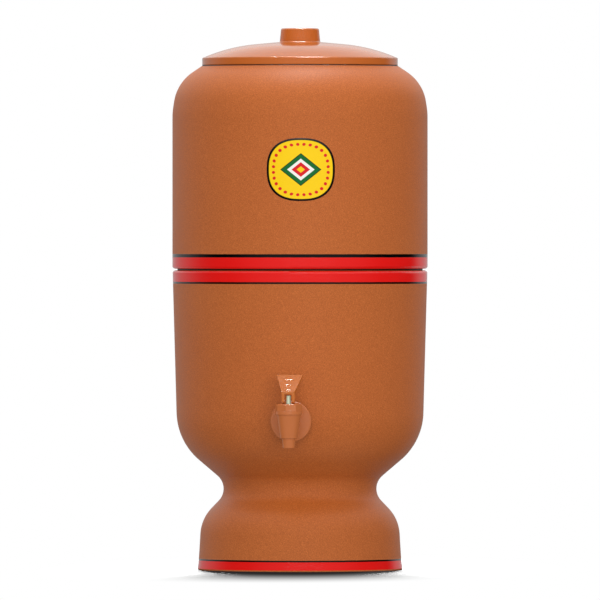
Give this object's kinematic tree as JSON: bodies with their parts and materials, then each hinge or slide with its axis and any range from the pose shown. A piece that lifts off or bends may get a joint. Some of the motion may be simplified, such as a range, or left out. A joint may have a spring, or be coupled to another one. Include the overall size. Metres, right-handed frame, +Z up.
{
  "type": "two-chamber clay water filter pot with lever tap",
  "caption": "Round two-chamber clay water pot on a waisted foot, with a domed lid, filter candles inside and a lever tap near the bottom.",
  "frame": {"origin": "middle of the foot ring on the floor", "axes": "+Z up, tap towards -Y, +X to the right when facing the tap"},
  "size_m": [0.2552, 0.3007, 0.5412],
  "materials": {
    "clay": "matt fired clay, fine grain, painted red and black bands",
    "lid_plastic": "glossy moulded plastic",
    "tap_plastic": "satin moulded plastic",
    "white_plastic": "satin moulded plastic",
    "stem_plastic": "natural moulded plastic",
    "rubber": "matt",
    "silicone": "satin, translucent",
    "steel": "drawn wire",
    "ceramic": "matt porous ceramic"
  },
  "bodies": {
    "lower_vessel": {"lower_chamber": "clay", "tap_body": "tap_plastic", "tap_outer_gasket": "rubber", "tap_inner_gasket": "rubber", "tap_lock_nut": "white_plastic", "tap_bonnet": "tap_plastic", "seat_cup": "silicone"},
    "valve_stem": {"valve_stem": "stem_plastic", "lever_pin": "tap_plastic"},
    "lever": {"tap_lever": "tap_plastic"},
    "upper_vessel": {"upper_chamber": "clay", "candle_shell_left": "ceramic", "candle_base_left": "white_plastic", "candle_washer_left": "rubber", "candle_nut_left": "white_plastic", "float_bracket_left": "white_plastic", "float_pin_left": "steel", "candle_shell_right": "ceramic", "candle_base_right": "white_plastic", "candle_washer_right": "rubber", "candle_nut_right": "white_plastic", "float_bracket_right": "white_plastic", "float_pin_right": "steel"},
    "float_left": {"float_arm_left": "white_plastic", "float_seal_left": "rubber", "float_pad_left": "white_plastic"},
    "float_right": {"float_arm_right": "white_plastic", "float_seal_right": "rubber", "float_pad_right": "white_plastic"},
    "lid": {"lid": "lid_plastic"}
  },
  "joints": [
    {"name": "upper_lift", "type": "slide", "parent": "lower_vessel", "child": "upper_vessel", "axis": [0, 0, 1], "range_m": [0, 0.12]},
    {"name": "lid_lift", "type": "slide", "parent": "upper_vessel", "child": "lid", "axis": [0, 0, 1], "range_m": [0, 0.1]},
    {"name": "stem_lift", "type": "slide", "parent": "lower_vessel", "child": "valve_stem", "axis": [0, 0, 1], "range_m": [0, 0.00288], "deforming": ["seat_cup"]},
    {"name": "lever_tilt", "type": "hinge", "parent": "valve_stem", "child": "lever", "pos_m": [0, -0.16, 0.172], "axis": [1, 0, 0], "range_deg": [0, 50], "stiffness_Nm_per_rad": 0.01, "springref_deg": -57.3},
    {"name": "float_left_swing", "type": "hinge", "parent": "upper_vessel", "child": "float_left", "pos_m": [-0.05, -0.01, 0.258], "axis": [1, 0, 0], "range_deg": [0, 17.5]},
    {"name": "float_right_swing", "type": "hinge", "parent": "upper_vessel", "child": "float_right", "pos_m": [0.05, -0.01, 0.258], "axis": [1, 0, 0], "range_deg": [0, 17.5]}
  ],
  "couplings": [
    {"joint": "lever_tilt", "follows": "stem_lift", "rad_per_m": 303}
  ]
}
